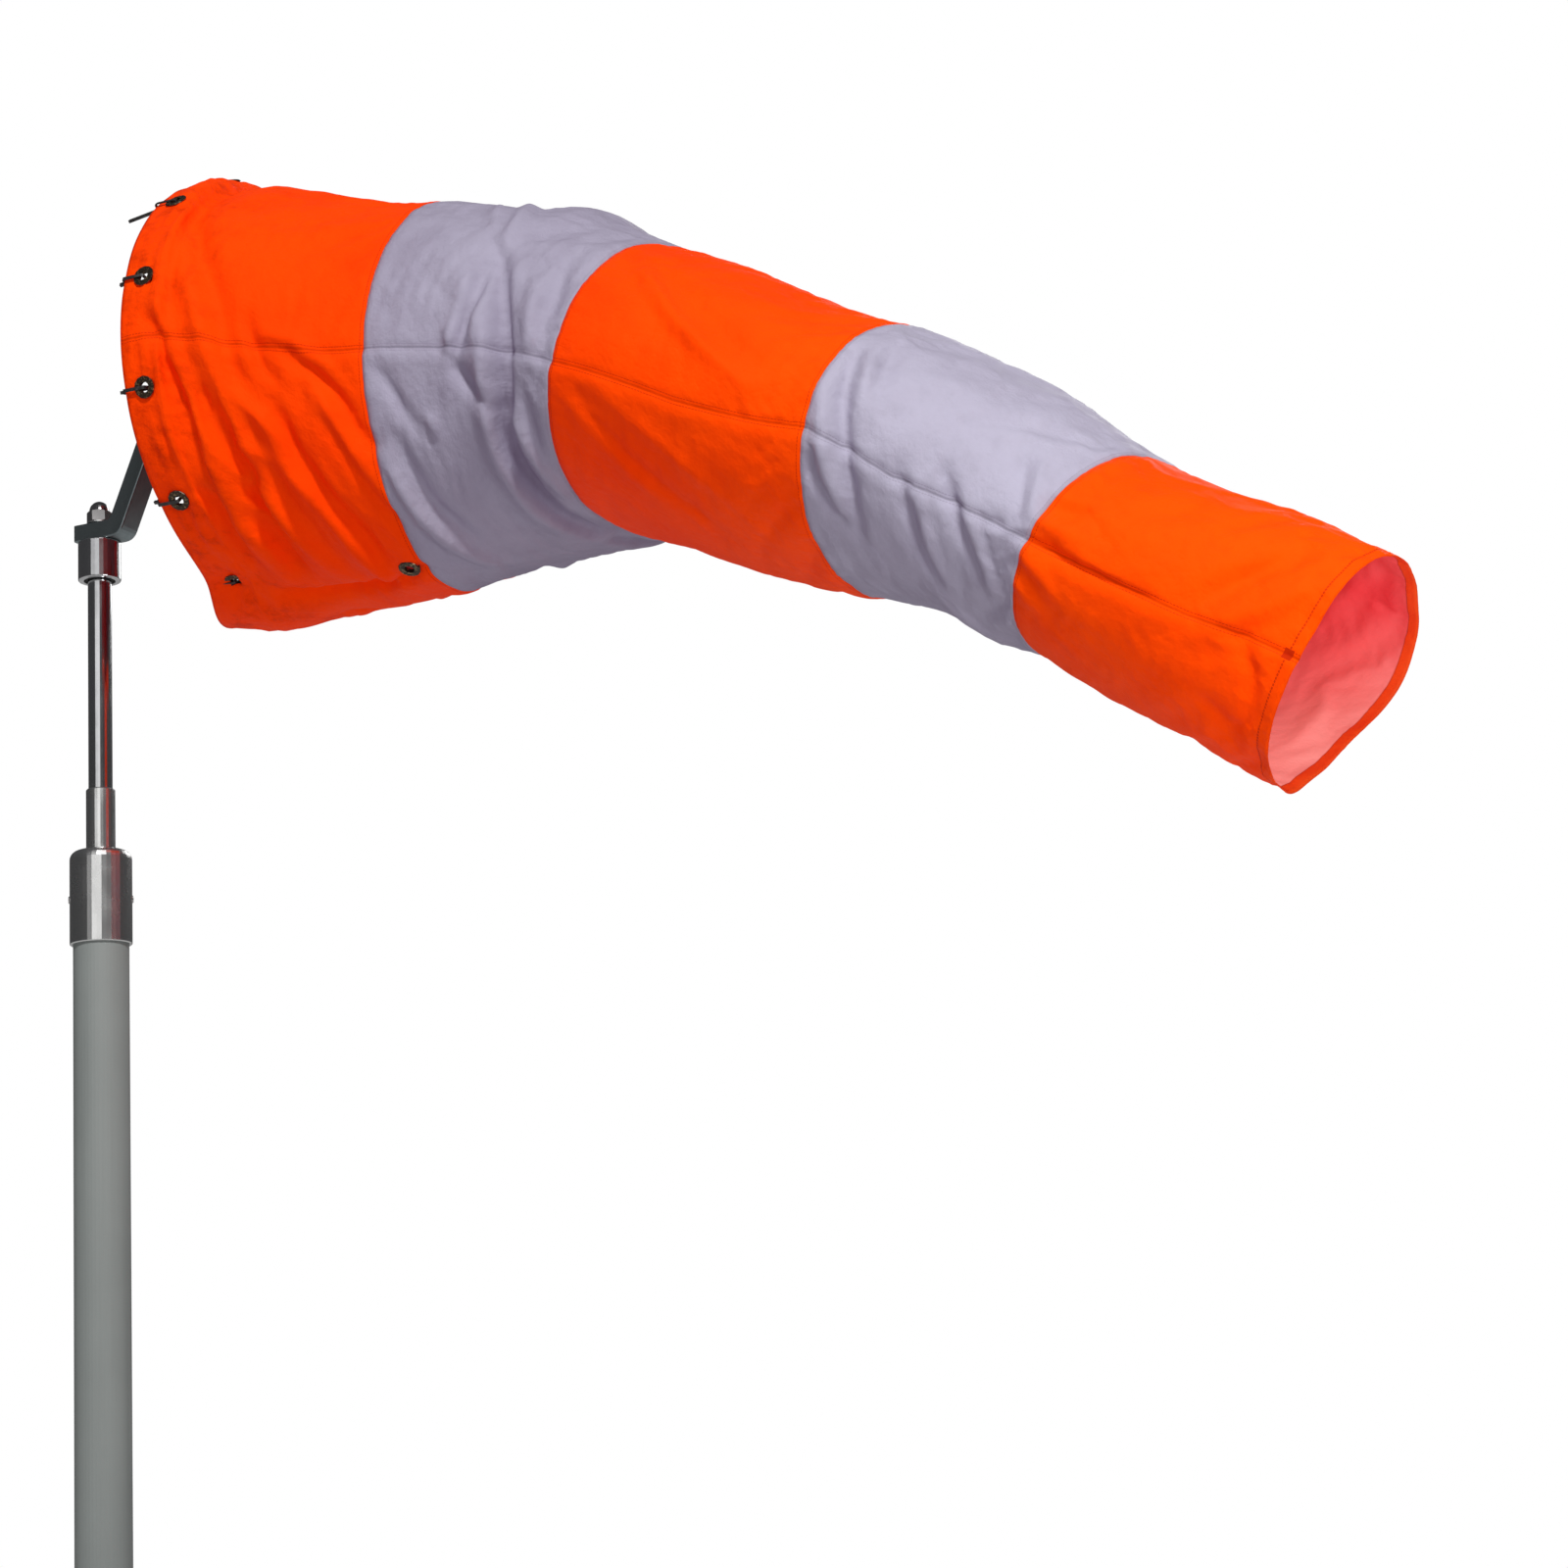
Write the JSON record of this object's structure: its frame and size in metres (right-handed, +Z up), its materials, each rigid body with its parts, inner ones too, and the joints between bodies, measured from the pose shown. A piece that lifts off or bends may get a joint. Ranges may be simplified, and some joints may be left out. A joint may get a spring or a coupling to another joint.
{
  "type": "windsock with pole",
  "caption": "Striped fabric wind cone tied to a ring on a bent arm, turning on a bearing hub at the top of a flanged steel mast.",
  "frame": {"origin": "centre of the mast's foot, on the underside of the base flange", "axes": "+Z up along the mast, +X from the mast towards the sock's tail as stored, +Y to the left of the sock seen from the mast"},
  "size_m": [1.5687, 0.471, 3.0258],
  "materials": {
    "mast_paint": "matte grey",
    "stainless": "turned and polished",
    "bearing_steel": "ground",
    "seal_rubber": "matte",
    "orange_cloth": "coated woven polyester",
    "white_cloth": "coated woven polyester",
    "eyelet_brass": "blackened",
    "tie_nylon": "moulded"
  },
  "bodies": {
    "mast": {"base_flange": "mast_paint", "gusset_1": "mast_paint", "gusset_2": "mast_paint", "gusset_3": "mast_paint", "gusset_4": "mast_paint", "mast_tube": "mast_paint", "mast_sleeve": "stainless", "grub_screw_1": "bearing_steel", "grub_screw_2": "bearing_steel", "spigot": "stainless", "spindle_rod": "stainless", "lower_inner_ring": "bearing_steel", "upper_inner_ring": "bearing_steel", "inner_spacer": "stainless", "top_spacer": "stainless", "top_washer": "stainless", "dome_nut": "stainless"},
    "head": {"hub_collar": "stainless", "hub_seal": "seal_rubber", "lower_outer_ring": "bearing_steel", "upper_outer_ring": "bearing_steel", "lower_ball_cage": "bearing_steel", "upper_ball_cage": "bearing_steel", "carrier_arm": "stainless", "mouth_ring": "stainless", "band_1": "orange_cloth", "drain_eyelet": "eyelet_brass", "eyelet_01": "eyelet_brass", "eyelet_02": "eyelet_brass", "eyelet_03": "eyelet_brass", "eyelet_04": "eyelet_brass", "eyelet_05": "eyelet_brass", "eyelet_06": "eyelet_brass", "eyelet_07": "eyelet_brass", "eyelet_08": "eyelet_brass", "eyelet_09": "eyelet_brass", "eyelet_10": "eyelet_brass", "eyelet_11": "eyelet_brass", "eyelet_12": "eyelet_brass", "tie_01": "tie_nylon", "tie_02": "tie_nylon", "tie_03": "tie_nylon", "tie_04": "tie_nylon", "tie_05": "tie_nylon", "tie_06": "tie_nylon", "tie_07": "tie_nylon", "tie_08": "tie_nylon", "tie_09": "tie_nylon", "tie_10": "tie_nylon", "tie_11": "tie_nylon", "tie_12": "tie_nylon"},
    "sock_2": {"band_2": "white_cloth"},
    "sock_3": {"band_3": "orange_cloth"},
    "sock_4": {"band_4": "white_cloth"},
    "sock_5": {"band_5": "orange_cloth"}
  },
  "joints": [
    {"name": "swivel", "type": "hinge", "parent": "mast", "child": "head", "pos_m": [0, 0, 2.6333], "axis": [0, 0, 1], "continuous": true},
    {"name": "droop_2", "type": "hinge", "parent": "head", "child": "sock_2", "pos_m": [0.464, 0.012, 2.737], "axis": [0.0349, 0.9994, 0], "range_deg": [-8, 20]},
    {"name": "droop_3", "type": "hinge", "parent": "sock_2", "child": "sock_3", "pos_m": [0.687, 0.012, 2.705], "axis": [0.1219, 0.9925, 0], "range_deg": [-18, 12]},
    {"name": "droop_4", "type": "hinge", "parent": "sock_3", "child": "sock_4", "pos_m": [0.946, 0.006, 2.584], "axis": [0.1392, 0.9903, 0], "range_deg": [-8, 12]},
    {"name": "droop_5", "type": "hinge", "parent": "sock_4", "child": "sock_5", "pos_m": [1.155, 0.002, 2.448], "axis": [0.1908, 0.9816, 0], "range_deg": [-2, 12]}
  ]
}
